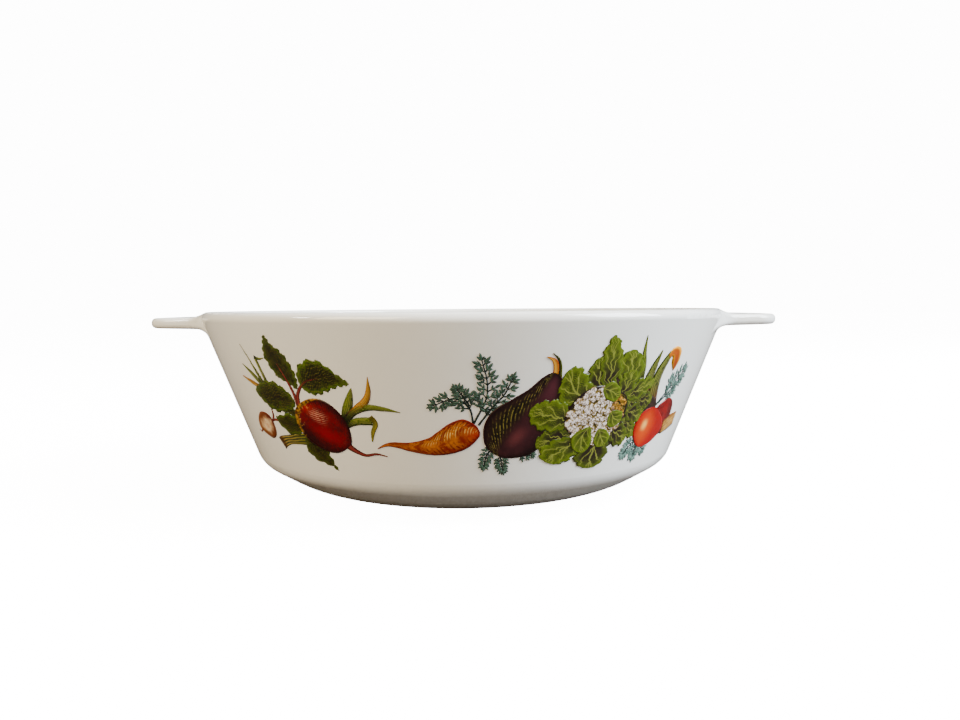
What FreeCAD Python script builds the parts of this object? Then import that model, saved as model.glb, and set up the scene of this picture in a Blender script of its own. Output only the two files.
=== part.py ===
"""Round opal-glass casserole dish with two tab handles and fired-on enamel print films.

Frame: millimetres, +Z up, origin at the centre of the foot, handles along X, print on -Y and +Y.
"""
import FreeCAD, Part

import math
import os

Vector = FreeCAD.Vector
UP = Vector(0, 0, 1)
CENTRE = Vector(0, 0, 0)

# Driving dimensions of the pressing
RIM_RADIUS = 110.0          # where the line of the outer wall reaches the rim's height
HEIGHT = 72.3
LEAN = math.radians(20.7)   # of the wall, from upright
WALL = 4.4                  # square to the surface
HEEL_HEIGHT = 11.7          # where wall and underside would meet if the heel were sharp
HEEL_ROUND = 9.8
FOOT_EDGE = 68.0            # where underside and foot would meet if that bend were sharp
FOOT_ROUND = 36.0
BASE = 5.0
INNER_ROUND = 16.0
RECESS_RADIUS = 46.0        # the shallow hollow under the base
RECESS_DEPTH = 0.9
RIM_ROUND = 2.5
RIM_INNER_ROUND = 1.55

# Tab handles
HANDLE_REACH = 129.0        # from the centre of the dish to the end of a tab
HANDLE_TOP = 70.2
HANDLE_ROOT = 4.7           # thickness at the wall
HANDLE_TIP = 4.1            # thickness at the end
TAB_END_HALF = 30.0
TAB_CORNER = 13.0
TAB_WAIST = (105.5, 36.0)   # where a side would turn outwards if it were sharp
TAB_FLARE = 12.0            # radius of that turn
TAB_RUN_IN = (84.0, 62.0)   # inside the wall, where the flare ends
TAB_BOW = 400.0             # radius of the end, seen from above
TOP_BLEND = 12.0
UNDER_BLEND = 4.5
EDGE_ROUND = 1.8

# Enamel print
FILM = 0.12
SMALLEST_PATCH = 3.0        # square millimetres; a scrap cut off a motif by the one over it is left out
PRINT_RADIUS = 100.0        # places along the print are arc lengths at this radius
PRINT_LOW, PRINT_HIGH = 14.0, 68.5


def wall_radius(z):
    """Outer radius of the straight wall at height z."""
    return RIM_RADIUS - (HEIGHT - z) * math.tan(LEAN)


def rounded_wire(corners):
    """Closed wire through (point, radius) corners, each one rounded by a tangent arc."""
    edges = []
    last = None
    first = None
    for i, (here, radius) in enumerate(corners):
        before = corners[i - 1][0] - here
        after = corners[(i + 1) % len(corners)][0] - here
        before.normalize()
        after.normalize()
        half = before.getAngle(after) / 2
        reach = radius / math.tan(half)
        start, end = here + before * reach, here + after * reach
        if last and (start - last).Length > 1e-6:
            edges.append(Part.makeLine(last, start))
        if radius:
            middle = (before + after).normalize()
            through = here + middle * (radius / math.sin(half) - radius)
            edges.append(Part.Arc(start, through, end).toShape())
        first = first or start
        last = end
    edges.append(Part.makeLine(last, first))
    return Part.Wire(edges)


def turned(wire):
    return Part.Face(wire).revolve(CENTRE, UP, 360)


def bowl():
    """Base, wall and rounded rim in one turned section."""
    across = WALL / math.cos(LEAN)
    section = [
        (0, RECESS_DEPTH, 0),
        (RECESS_RADIUS, RECESS_DEPTH, 2.0),
        (RECESS_RADIUS + 2.0, 0, 1.0),
        (FOOT_EDGE, 0, FOOT_ROUND),
        (wall_radius(HEEL_HEIGHT), HEEL_HEIGHT, HEEL_ROUND),
        (RIM_RADIUS, HEIGHT, RIM_ROUND),
        (RIM_RADIUS - across, HEIGHT, RIM_INNER_ROUND),
        (wall_radius(BASE) - across, BASE, INNER_ROUND),
        (0, BASE, 0),
    ]
    return turned(rounded_wire([(Vector(r, 0, z), radius) for r, z, radius in section]))


def flange():
    """Turned ring with the handles' section, blended into the rim above and the wall below."""
    rim = Vector(RIM_RADIUS - RIM_ROUND * math.tan((math.pi / 2 + LEAN) / 2), 0, HEIGHT - RIM_ROUND)
    above_z = HANDLE_TOP + TOP_BLEND
    above = Vector(rim.x + math.sqrt((RIM_ROUND + TOP_BLEND) ** 2 - (above_z - rim.z) ** 2), 0, above_z)
    touch = rim + (above - rim) * (RIM_ROUND / (RIM_ROUND + TOP_BLEND))
    half_top = math.atan2(above.x - touch.x, above.z - touch.z) / 2
    top_mid = above - Vector(math.sin(half_top), 0, math.cos(half_top)) * TOP_BLEND
    top_out = above - UP * TOP_BLEND

    under_z = HANDLE_TOP - HANDLE_ROOT
    below = Vector(wall_radius(under_z - UNDER_BLEND) + UNDER_BLEND / math.cos(LEAN), 0, under_z - UNDER_BLEND)
    wall_touch = below + Vector(-math.cos(LEAN), 0, math.sin(LEAN)) * UNDER_BLEND
    half_under = (math.pi / 2 - LEAN) / 2
    under_mid = below + Vector(-math.sin(half_under), 0, math.cos(half_under)) * UNDER_BLEND
    under_out = below + UP * UNDER_BLEND

    past = HANDLE_REACH + 2.0
    taper = (HANDLE_ROOT - HANDLE_TIP) / 2
    corner = Vector(wall_touch.x - WALL / 2, 0, wall_touch.z)
    wire = Part.Wire([
        Part.Arc(touch, top_mid, top_out).toShape(),
        Part.makeLine(top_out, Vector(past, 0, HANDLE_TOP - taper)),
        Part.makeLine(Vector(past, 0, HANDLE_TOP - taper), Vector(past, 0, under_z + taper)),
        Part.makeLine(Vector(past, 0, under_z + taper), under_out),
        Part.Arc(under_out, under_mid, wall_touch).toShape(),
        Part.makeLine(wall_touch, corner),
        Part.makeLine(corner, rim),
        Part.makeLine(rim, touch),
    ])
    return turned(wire)


def tab_outline():
    """Plan of the +X handle: a gently bowed end, round corners, sides that flare out into the wall."""
    bow_back = TAB_END_HALF ** 2 / (2 * TAB_BOW)
    side = [
        (HANDLE_REACH - bow_back, TAB_END_HALF, TAB_CORNER),
        (*TAB_WAIST, TAB_FLARE),
        (*TAB_RUN_IN, 0),
        (TAB_RUN_IN[0] - 3 * WALL, TAB_RUN_IN[1], 0),
    ]
    other = [(x, -y, radius) for x, y, radius in reversed(side)]
    corners = [(HANDLE_REACH + bow_back / 4, 0, TAB_BOW)] + side + other
    return rounded_wire([(Vector(x, y, 0), radius) for x, y, radius in corners])


def is_upright(face, edge):
    """True where the face stands upright beside the edge."""
    return abs(face.normalAt(*face.Surface.parameter(edge.CenterOfMass)).z) < 0.02


def tab():
    """The +X handle with its edges rounded, its root buried in the wall."""
    prism = Part.Face(tab_outline()).extrude(UP * HEIGHT)
    piece = flange().common(prism).Solids[0]
    buried = wall_radius(HANDLE_TOP - HANDLE_ROOT - UNDER_BLEND) + WALL / 2
    edges = []
    for edge in piece.Edges:
        middle = edge.valueAt((edge.FirstParameter + edge.LastParameter) / 2)
        upright = [is_upright(face, edge) for face in piece.ancestorsOfType(edge, Part.Face)]
        if any(upright) and not all(upright) and math.hypot(middle.x, middle.y) > buried:
            edges.append(edge)
    return piece.makeFillet(EDGE_ROUND, edges)


def half_turned(shape):
    turn = shape.copy()
    turn.rotate(CENTRE, UP, 180)
    return turn


def dish():
    """The whole pressing: bowl and two tab handles in one piece of glass."""
    handle = tab()
    return bowl().multiFuse([handle, half_turned(handle)]).removeSplitter().Solids[0]


def on_wall(u, z):
    """Where the print's place (arc length u, height z) falls in the front elevation."""
    return Vector(wall_radius(z) * math.sin(u / PRINT_RADIUS), 0, z)


def blob(points):
    """Smooth closed outline through a few (u, z) places."""
    curve = Part.BSplineCurve()
    curve.interpolate(Points=[on_wall(u, z) for u, z in points], PeriodicFlag=True)
    return Part.Face(Part.Wire(curve.toShape()))


def leaf(base, tip, width, bend=0.0):
    """Pointed leaf or shoot: two arcs from base to tip, bowed sideways by bend."""
    run = (tip[0] - base[0], tip[1] - base[1])
    length = math.hypot(*run)
    side = (-run[1] / length, run[0] / length)
    arcs = []
    for offset in (bend + width / 2, bend - width / 2):
        middle = [(base[k] + tip[k]) / 2 + side[k] * offset for k in (0, 1)]
        arcs.append(Part.Arc(on_wall(*base), on_wall(*middle), on_wall(*tip)).toShape())
    return Part.Face(Part.Wire(arcs))


def joined(shapes):
    """The shapes as one, merged wherever they overlap."""
    return shapes[0].multiFuse(shapes[1:]).removeSplitter() if len(shapes) > 1 else shapes[0]


def wall_film():
    """Thin ring lying on the outside of the wall, from which each print film is cut."""
    out = Vector(math.cos(LEAN), 0, -math.sin(LEAN)) * FILM
    low, high = (Vector(wall_radius(z), 0, z) for z in (PRINT_LOW, PRINT_HIGH))
    return turned(Part.makePolygon([low, low + out, high + out, high, low]))


# Each motif of the print, back to front: name and its outlines, in (u, z) millimetres
MOTIFS = {
    "herb_shoots": [
        leaf((-72, 46), (-80, 60), 2.6, -1.0), leaf((-73, 45), (-87, 50), 2.6, -1.5),
        leaf((-71, 46), (-72, 58), 2.4, 1.0), leaf((-73, 44.5), (-82, 54), 2.4, 0.8),
    ],
    "radish": [blob([(-80.5, 37.5), (-76, 35), (-77.5, 29.5), (-82, 28), (-86.5, 31), (-85.5, 36)])],
    "leek": [blob([(-75, 28.5), (-66, 30), (-58.5, 31), (-58, 26.5), (-66, 25.5), (-74.5, 24.5)])],
    "beet_leaves": [
        leaf((-56, 44), (-64, 65), 10.0, 1.0), leaf((-53, 46), (-34, 50), 10.0, 2.0),
        leaf((-57, 42), (-80, 42.5), 9.0, 1.0), leaf((-57, 37), (-71, 36.5), 6.0),
        leaf((-57, 28.5), (-47, 20), 6.5, -0.5),
    ],
    "onion_shoots": [
        leaf((-38.5, 35), (-33.5, 48), 2.2), leaf((-39, 34), (-27, 51.5), 3.0, 1.0),
        leaf((-39.5, 33.5), (-18, 40.5), 3.4, 2.2), leaf((-38, 33), (-30, 30), 3.0, 3.0),
    ],
    "beetroot": [
        blob([(-57, 40.5), (-45, 44), (-37, 36), (-38, 29), (-50, 24.5), (-60.5, 31)]),
        leaf((-43, 28.5), (-25, 25.2), 3.0, 1.2),
    ],
    "carrot_fronds": [
        leaf((6.5, 36), (8.5, 59.5), 9.0, -1.0), leaf((6, 36), (-8, 43.5), 8.0, 1.0),
        leaf((6, 37), (1.5, 50.5), 7.0, 1.5), leaf((8, 36), (18.5, 52.5), 8.0, 1.0),
        leaf((8, 31), (20.5, 19.5), 8.0, -1.0), leaf((16, 24), (28, 23.5), 4.0),
    ],
    "carrot": [blob([(-28, 27.8), (-12, 34), (-3, 37), (6, 37.5), (8.5, 33), (4, 28), (-7, 26.2), (-18, 27)])],
    "aubergine": [blob([(9.8, 33), (13, 41), (22, 48), (30, 52.5), (34, 50), (33.5, 41), (29, 31), (19, 24.5), (12, 27)])],
    "aubergine_stalk": [leaf((32.5, 50.5), (28.5, 57.5), 2.6, -2.2)],
    "pea_shoots": [
        leaf((78, 41), (62.5, 63.5), 3.2, 0.6), leaf((78.5, 41), (73, 57.5), 3.0, 0.8),
        leaf((79.5, 41), (85.5, 59), 4.6, 2.0),
    ],
    "dill": [
        leaf((83, 41), (96, 51.5), 8.0), leaf((82, 40), (97, 45), 5.0), leaf((70, 24), (86, 17.5), 6.0, 1.0),
    ],
    "pepper": [blob([(84, 39), (91, 39.5), (97, 35), (100, 29), (94, 27), (86, 32)])],
    "tomato": [blob([(71, 33), (76, 40), (86, 39), (94, 31.5), (92, 24), (84, 21.5), (74, 25)])],
    "cauliflower_leaves": [
        leaf((51, 46), (50, 64.5), 13.0), leaf((45, 42), (41, 59.5), 9.0, 1.0), leaf((43, 42), (31, 55), 9.0, -1.0),
        leaf((44, 38), (24, 40), 11.0, -1.0), leaf((46, 34), (27.5, 23.5), 11.0), leaf((52, 33), (52, 17.5), 13.0, -2.0),
        leaf((56, 34), (72, 25.5), 10.0), leaf((56, 44), (65.5, 61), 9.0), leaf((57, 42), (74, 47.5), 9.0, 1.0),
    ],
    "cauliflower_head": [blob([(38, 39.5), (42, 46), (49, 48), (58, 44.5), (62, 38.5), (59, 32.5), (51.5, 30), (42, 33)])],
}


def motif_films():
    """The enamel of each motif on the front of the wall, cut back where a later one lies over it."""
    depth = Vector(0, -RIM_RADIUS, 0)
    prisms = {name: joined([face.extrude(depth) for face in outlines]) for name, outlines in MOTIFS.items()}
    ring = wall_film()
    names = list(prisms)
    films = {}
    for i, name in enumerate(names):
        film = prisms[name].common(ring)
        over = [prisms[later] for later in names[i + 1:]]
        patches = (film.cut(over) if over else film).Solids
        films[name] = Part.makeCompound([patch for patch in patches if patch.Volume > SMALLEST_PATCH * FILM])
    return films


def write(name, shape):
    assert shape.isValid() and shape.Solids, name
    shape.exportStep(f"parts/{name}.step")


os.makedirs("parts", exist_ok=True)
write("dish", dish())
for motif, film in motif_films().items():
    write(f"front_{motif}", film)
    write(f"back_{motif}", half_turned(film))
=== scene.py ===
"""The looks of a round opal-glass casserole dish: the pressing, its fired enamel print and the stage."""
import math
import random

import bpy
import numpy as np
from mathutils import Matrix, Vector


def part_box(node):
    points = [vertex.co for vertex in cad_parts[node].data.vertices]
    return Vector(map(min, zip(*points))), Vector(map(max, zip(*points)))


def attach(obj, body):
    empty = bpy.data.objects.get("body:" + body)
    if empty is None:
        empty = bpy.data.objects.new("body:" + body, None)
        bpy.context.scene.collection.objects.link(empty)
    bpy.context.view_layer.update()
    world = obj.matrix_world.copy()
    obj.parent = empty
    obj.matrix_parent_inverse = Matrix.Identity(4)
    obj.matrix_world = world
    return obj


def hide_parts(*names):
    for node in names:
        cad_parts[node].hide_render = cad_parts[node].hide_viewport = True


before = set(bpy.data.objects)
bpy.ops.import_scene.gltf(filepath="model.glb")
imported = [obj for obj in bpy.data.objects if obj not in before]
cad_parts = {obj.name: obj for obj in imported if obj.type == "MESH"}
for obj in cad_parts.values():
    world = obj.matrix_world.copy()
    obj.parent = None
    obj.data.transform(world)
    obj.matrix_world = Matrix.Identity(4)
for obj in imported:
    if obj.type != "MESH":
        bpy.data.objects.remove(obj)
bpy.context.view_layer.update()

bl_info = {
    "name": "Opal Casserole Dish",
    "version": (1, 0, 0),
    "blender": (4, 5, 0),
    "location": "View3D > Sidebar > Casserole",
    "description": "Opal-glass casserole dish with a fired-on vegetable print",
    "category": "Object",
}

# The pressing, in millimetres, as the frame has it
MM = 0.001
RIM_RADIUS = 110.0
LEAN = math.radians(20.7)
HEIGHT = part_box("dish")[1].z / MM

# The print: places are (arc length at this radius, height), in millimetres
PRINT_RADIUS = 100.0
SUNK = 0.06                 # how far a film's underside reaches into the glass
LIFT = 0.05                 # of the lowest film off the glass
LAYER = 0.004               # between one level and the next
STROKE_STEP = 0.03          # levels between one patch and the next in the same motif
LEAF_STEP = 0.7             # levels between one broad leaf and the next
LEAF_BELLY = 0.8            # under 1 puts a small leaf's widest place nearer its tip
LEAF_FULLNESS = 0.8         # under 1 makes it rounder
LEAF_POINT = 0.02           # half its width at both ends
LEAFLET_PLUMP = 0.39        # a leaflet's width against its length
SPRAY_PLACES = 60           # places along a frond's stem where a sprig may start
CURVE_STEPS = 24            # between two points of a curve
OUTLINE_POINTS = 600        # round a closed outline
INK_DEPTH = 1.25            # power that deepens the darker inks


# ---------------------------------------------------------------- outlines


def on_glass(u, z, lift):
    """Places of the print on the front of the wall, in metres."""
    radius = RIM_RADIUS - (HEIGHT - z) * math.tan(LEAN) + lift * math.cos(LEAN)
    angle = u / PRINT_RADIUS
    height = z - lift * math.sin(LEAN)
    return np.stack([radius * np.sin(angle), -radius * np.cos(angle), height], -1) * MM


def smooth(points, count, closed=False):
    """A curve through the points, given as count places evenly spaced along it."""
    points = np.asarray(points, float)
    if closed:
        points = np.concatenate([points[-1:], points, points[:2]])
    else:
        before, after = 2 * points[:1] - points[1:2], 2 * points[-1:] - points[-2:-1]
        points = np.concatenate([before, points, after])
    t = np.linspace(0, 1, CURVE_STEPS, endpoint=False)[:, None]
    spans = []
    for a, b, c, d in zip(points, points[1:], points[2:], points[3:]):
        bend = 2 * a - 5 * b + 4 * c - d + t * (3 * (b - c) + d - a)
        spans.append(b + 0.5 * t * (c - a + t * bend))
    fine = np.concatenate(spans + [points[-2:-1]])
    return spread(fine, np.linspace(0, 1, count))


def spread(line, shares):
    """Places at the given shares of a line's length."""
    run = np.concatenate([[0], np.cumsum(np.linalg.norm(np.diff(line, axis=0), axis=1))])
    return np.stack([np.interp(shares * run[-1], run, line[:, k]) for k in (0, 1)], -1)


def eased(count):
    """Shares from 0 to 1, closer together at both ends."""
    return (1 - np.cos(np.linspace(0, math.pi, count))) / 2


class Film:
    """The patches of enamel that make up one motif, each a closed slab, gathered into one mesh."""

    def __init__(self, level, seed):
        self.level = level
        self.chance = random.Random(seed)
        self.points, self.quads, self.inks, self.tops = [], [], [], []
        self.marks = {"along": [], "across": [], "edge": [], "tone": []}
        self.total = 0

    def patch(self, left, right, ink, columns, tone=None, shares=None):
        """Fills between two edges that run side by side from a base to a tip, at these shares of the way."""
        rows = len(left)
        share = np.linspace(0, 1, columns)
        grid = left[:, None] * (1 - share[None, :, None]) + right[:, None] * share[None, :, None]
        shares = np.linspace(0, 1, rows) if shares is None else shares
        along = np.broadcast_to(shares[:, None], (rows, columns))
        across = np.broadcast_to(2 * share[None] - 1, (rows, columns))
        u, z = grid[..., 0], grid[..., 1]
        one_way = np.diff(u, axis=0)[:, 1:] * np.diff(z, axis=1)[1:]
        other_way = np.diff(z, axis=0)[:, 1:] * np.diff(u, axis=1)[1:]
        if (one_way - other_way).sum() < 0:
            u, z, along, across = u[:, ::-1], z[:, ::-1], along[:, ::-1], across[:, ::-1]
        lift = LIFT + LAYER * self.level
        self.level += STROKE_STEP
        top, under = on_glass(u, z, lift), on_glass(u, z, -SUNK)
        below = rows * columns
        index = self.total + np.arange(below).reshape(rows, columns)
        face = np.stack([index[:-1, :-1], index[1:, :-1], index[1:, 1:], index[:-1, 1:]], -1).reshape(-1, 4)
        loop = np.concatenate([index[0, :-1], index[:-1, -1], index[-1, :0:-1], index[:0:-1, 0]])
        after = np.roll(loop, -1)
        side = np.stack([loop, after, after + below, loop + below], -1)
        self.points += [top.reshape(-1, 3), under.reshape(-1, 3)]
        self.quads += [face, (face + below)[:, ::-1], side]
        self.inks += [np.full(2 * len(face) + len(side), ink)]
        self.tops += [np.repeat([True, False], [len(face), len(face) + len(side)])]
        middle = 2 * along - 1
        edge = np.sqrt(middle ** 2 + across ** 2 * (1 - middle ** 2))
        tone = self.chance.random() if tone is None else tone
        values = {"along": along, "across": across, "edge": edge, "tone": along * 0 + tone}
        for name, value in values.items():
            self.marks[name] += [value.ravel()] * 2
        self.total += 2 * below

    def egg(self, outline, tip, ink, rows=40, columns=17, tone=None, teeth=0, depth=0.0):
        """A rounded body: a closed outline from its base, its far end at point number tip."""
        closed = smooth(outline, OUTLINE_POINTS, closed=True)
        turn = int(np.argmin(np.linalg.norm(closed - np.array(outline[tip]), axis=1)))
        shares = eased(rows)
        left = spread(closed[: turn + 1], shares)
        right = spread(closed[turn:][::-1], shares)
        if teeth:
            left, right = self.toothed(left, right, teeth, depth)
        self.patch(left, right, ink, columns, tone, shares)

    def toothed(self, left, right, teeth, depth):
        """Pushes both edges in and out, less towards the ends."""
        out = left - right
        out = out / np.maximum(np.linalg.norm(out, axis=1), 0.001)[:, None]
        share = np.linspace(0, 1, len(left))
        edges = []
        for edge, way in ((left, 1), (right, -1)):
            # broad teeth, with finer ones between them
            start = self.chance.random()
            wave = np.abs(np.sin(math.pi * (share * teeth + start))) - 0.7
            fine = 0.45 * np.abs(np.sin(math.pi * (share * teeth * 2.7 + start))) - 0.25
            push = depth * (wave + fine) * np.sin(math.pi * share) ** 0.8
            edges.append(edge + way * out * push[:, None])
        return edges

    def ribbon(self, spine, widths, ink, rows=None, columns=5, tone=None):
        """A stem or shoot: a spine, and widths spread evenly along it."""
        rows = rows or 6 * len(spine)
        line = smooth(spine, rows)
        aim = np.gradient(line, axis=0)
        aim /= np.linalg.norm(aim, axis=1)[:, None]
        side = np.stack([-aim[:, 1], aim[:, 0]], -1)
        knots = np.linspace(0, 1, len(widths))
        half = np.interp(np.linspace(0, 1, rows), knots, widths)[:, None] / 2
        self.patch(line + side * half, line - side * half, ink, columns, tone)

    def leaf(self, base, tip, width, ink, rows, columns, bend=0.0, tone=None):
        """A small plain leaf on a bowed midrib, fullest a little short of its middle."""
        base, tip = np.array(base, float), np.array(tip, float)
        run = tip - base
        side = np.array([-run[1], run[0]]) / np.linalg.norm(run)
        share = np.linspace(0, 1, rows)
        spine = base + share[:, None] * run + side * (bend * np.sin(math.pi * share))[:, None]
        aim = np.gradient(spine, axis=0)
        aim /= np.linalg.norm(aim, axis=1)[:, None]
        normal = np.stack([-aim[:, 1], aim[:, 0]], -1)
        half = (width / 2 * np.sin(math.pi * share ** LEAF_BELLY) ** LEAF_FULLNESS + LEAF_POINT)[:, None]
        for _ in ("left", "right"):
            self.chance.random()    # one draw for each edge, as a toothed body takes
        self.patch(spine + normal * half, spine - normal * half, ink, columns, tone)

    def piece(self, name, inks, back):
        """Makes the mesh object. On the back the same film is turned half round the dish."""
        points = np.concatenate(self.points)
        if back:
            points[:, :2] *= -1
        quads = np.concatenate(self.quads)
        mesh = bpy.data.meshes.new(name)
        mesh.from_pydata(points.tolist(), [], quads.tolist())
        for ink in inks:
            mesh.materials.append(bpy.data.materials[ink])
        mesh.polygons.foreach_set("material_index", np.concatenate(self.inks).astype(np.int32))
        mesh.polygons.foreach_set("use_smooth", np.concatenate(self.tops))
        for mark, values in self.marks.items():
            held = mesh.attributes.new(mark, "FLOAT", "POINT").data
            held.foreach_set("value", np.concatenate(values).astype(np.float32))
        mesh.update()
        made = bpy.data.objects.new(name, mesh)
        bpy.context.scene.collection.objects.link(made)
        return made


def print_motif(draw, level, seed, slot, inks):
    """Makes one motif's film on the front and on the back, in place of the plain ones."""
    motif = draw.__name__.removeprefix("draw_")
    for side in ("front", "back"):
        film = Film(level, seed)
        draw(film)
        made = film.piece(f"{side}_{motif}_print", inks, back=side == "back")
        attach(made, "root")
        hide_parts(f"{side}_{motif}")


# ---------------------------------------------------------------- node wiring


class Wiring:
    """Adds nodes to one tree, each one fed as it is made."""

    def __init__(self, tree):
        self.tree = tree

    def feed(self, socket, value):
        if isinstance(value, bpy.types.NodeSocket):
            self.tree.links.new(value, socket)
        else:
            socket.default_value = value

    def node(self, kind, inputs=None, **settings):
        made = self.tree.nodes.new(kind)
        for key, value in settings.items():
            setattr(made, key, value)
        for key, value in (inputs or {}).items():
            self.feed(made.inputs[key], value)
        return made

    def sum(self, operation, a, b=0.0):
        return self.node("ShaderNodeMath", {0: a, 1: b}, operation=operation).outputs[0]

    def plus(self, a, b):
        return self.sum("ADD", a, b)

    def minus(self, a, b):
        return self.sum("SUBTRACT", a, b)

    def times(self, a, b):
        return self.sum("MULTIPLY", a, b)

    def power(self, a, b):
        return self.sum("POWER", a, b)

    def size(self, a):
        return self.sum("ABSOLUTE", a)

    def mix(self, share, a, b):
        return self.node("ShaderNodeMix", {0: share, 6: a, 7: b}, data_type="RGBA").outputs[2]

    def tint(self, body, colour, share, strength=None):
        """Lays a colour over the body, as strong as the share times the strength."""
        return self.mix(share if strength is None else self.times(share, strength), body, colour)

    def fade(self, value, start, end):
        """0 at start to 1 at end, eased."""
        limits = {"Value": value, "From Min": start, "From Max": end}
        return self.node("ShaderNodeMapRange", limits, interpolation_type="SMOOTHSTEP").outputs[0]

    def noise(self, scale, detail=3.0):
        place = self.node("ShaderNodeTexCoord").outputs["Object"]
        inputs = {"Vector": place, "Scale": scale, "Detail": detail}
        return self.node("ShaderNodeTexNoise", inputs).outputs["Fac"]

    def mark(self, name):
        return self.node("ShaderNodeAttribute", attribute_name=name).outputs["Fac"]

    def marks(self, *names):
        return [self.mark(name) for name in names]

    def effect(self, name, **inputs):
        """Places one of the shared effects, with its inputs' underscores as spaces."""
        made = self.node("ShaderNodeGroup", node_tree=bpy.data.node_groups[name])
        for key, value in inputs.items():
            self.feed(made.inputs[key.replace("_", " ")], value)
        return made.outputs

    def strokes(self, along, across, lines, slant, width, breaks, dash=900.0):
        """Engraved strokes: their number along the motif, slant, width, and how broken they are."""
        given = {"Along": along, "Across": across, "Lines": lines, "Slant": slant}
        return self.effect("Hatching", **given, Width=width, Breaks=breaks, Dash=dash)["Mask"]

    def mottle(self, scale, a, b):
        """One colour in patches over another."""
        return self.mix(self.effect("Mottling", Scale=scale)["Amount"], a, b)

    def rim(self, edge, width, wobble):
        """The drawn line round a motif."""
        return self.effect("Outlining", Edge=edge, Width=width, Wobble=wobble)["Mask"]


def shared_effect(name, inputs, outputs, build):
    """Builds an effect once, as a node group with named inputs and outputs."""
    if name in bpy.data.node_groups:
        return
    tree = bpy.data.node_groups.new(name, "ShaderNodeTree")
    for key, default in inputs.items():
        tree.interface.new_socket(key, in_out="INPUT", socket_type="NodeSocketFloat").default_value = default
    for key in outputs:
        tree.interface.new_socket(key, in_out="OUTPUT", socket_type="NodeSocketFloat")
    given = tree.nodes.new("NodeGroupInput").outputs
    end = tree.nodes.new("NodeGroupOutput")
    for key, value in build(Wiring(tree), given).items():
        tree.links.new(value, end.inputs[key])


def hatching(w, given):
    """Fine engraved strokes that cross a motif at a slant and break off here and there."""
    wander = w.times(w.noise(160, 2), 0.8)
    across = w.times(given["Across"], given["Slant"])
    place = w.plus(w.plus(w.times(given["Along"], given["Lines"]), across), wander)
    apart = w.times(w.size(w.minus(w.sum("FRACT", place), 0.5)), 2.0)
    stroke = w.fade(apart, w.plus(given["Width"], 0.3), w.times(given["Width"], 0.6))
    gap = w.fade(w.noise(given["Dash"], 2), w.minus(given["Breaks"], 0.06), w.plus(given["Breaks"], 0.06))
    return {"Mask": w.times(stroke, gap)}


def veining(w, given):
    """A midrib with side veins that rake towards the tip, thinning towards the leaf's edge."""
    out = w.size(given["Across"])
    bowed = w.times(w.power(out, 0.8), given["Rake"])
    wander = w.times(w.noise(220, 2), 0.5)
    place = w.plus(w.minus(w.times(given["Along"], given["Pairs"]), bowed), wander)
    apart = w.times(w.size(w.minus(w.sum("FRACT", place), 0.5)), 2.0)
    thin = w.times(given["Width"], w.minus(1.25, out))
    side = w.times(w.fade(apart, w.plus(thin, 0.16), thin), w.fade(out, 0.92, 0.55))
    taper = w.times(given["Width"], w.minus(1.1, given["Along"]))
    rib = w.times(w.fade(out, w.plus(taper, 0.07), w.times(taper, 0.5)), w.fade(given["Along"], 0.97, 0.8))
    return {"Mask": w.sum("MAXIMUM", side, rib), "Between": w.fade(apart, 0.1, 0.95)}


def outlining(w, given):
    """The drawn line round a motif's edge, a little uneven."""
    wobbly = w.plus(given["Edge"], w.times(w.minus(w.noise(500, 2), 0.5), given["Wobble"]))
    inner = w.minus(1.0, given["Width"])
    return {"Mask": w.fade(wobbly, inner, w.minus(1.0, w.times(given["Width"], 0.3)))}


def mottling(w, given):
    """Uneven ink: broad patches with finer ones over them."""
    broad = w.noise(given["Scale"], 2)
    fine = w.noise(w.times(given["Scale"], 4.0), 3)
    both = w.plus(w.times(broad, 0.6), w.times(fine, 0.4))
    return {"Amount": w.fade(both, 0.36, 0.64)}


def firing(w, given):
    """A fired surface: slightly uneven gloss and a faint ripple."""
    ripple = w.noise(given["Ripple"], 2)
    gloss = w.plus(given["Roughness"], w.times(w.minus(w.noise(420, 4), 0.5), given["Uneven"]))
    return {"Roughness": gloss, "Height": w.plus(ripple, w.times(w.noise(1400, 2), given["Grain"]))}


def build_effects():
    shared_effect("Hatching", {"Along": 0, "Across": 0, "Lines": 20, "Slant": 2, "Width": 0.3,
                               "Breaks": 0.45, "Dash": 900}, ["Mask"], hatching)
    shared_effect("Veining", {"Along": 0, "Across": 0, "Pairs": 5, "Rake": 1.2, "Width": 0.12},
                  ["Mask", "Between"], veining)
    shared_effect("Outlining", {"Edge": 0, "Width": 0.1, "Wobble": 0.1}, ["Mask"], outlining)
    shared_effect("Mottling", {"Scale": 300}, ["Amount"], mottling)
    shared_effect("Firing", {"Roughness": 0.2, "Uneven": 0.1, "Ripple": 60, "Grain": 0.1},
                  ["Roughness", "Height"], firing)


# ---------------------------------------------------------------- finishes


def finish(name, paint, roughness, coat, ripple, **sockets):
    """A glossy fired finish whose colour is what paint returns. The ripple is its scale, grain and depth."""
    material = bpy.data.materials.new(name)
    material.use_nodes = True
    tree = material.node_tree
    tree.nodes.clear()
    w = Wiring(tree)
    scale, grain, depth = ripple
    fired = w.effect("Firing", Roughness=roughness, Uneven=0.08, Ripple=scale, Grain=grain)
    bumps = {"Height": fired["Height"], "Distance": depth, "Strength": 0.6}
    bump = w.node("ShaderNodeBump", bumps).outputs[0]
    inputs = {"Base Color": paint(w), "Roughness": fired["Roughness"], "Normal": bump}
    shader = w.node("ShaderNodeBsdfPrincipled", inputs)
    shader.inputs["Coat Weight"].default_value = coat
    shader.inputs["Coat Roughness"].default_value = 0.08
    for key, value in sockets.items():
        shader.inputs[key.replace("_", " ")].default_value = value
    end = tree.nodes.new("ShaderNodeOutputMaterial")
    tree.links.new(shader.outputs[0], end.inputs[0])


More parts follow.
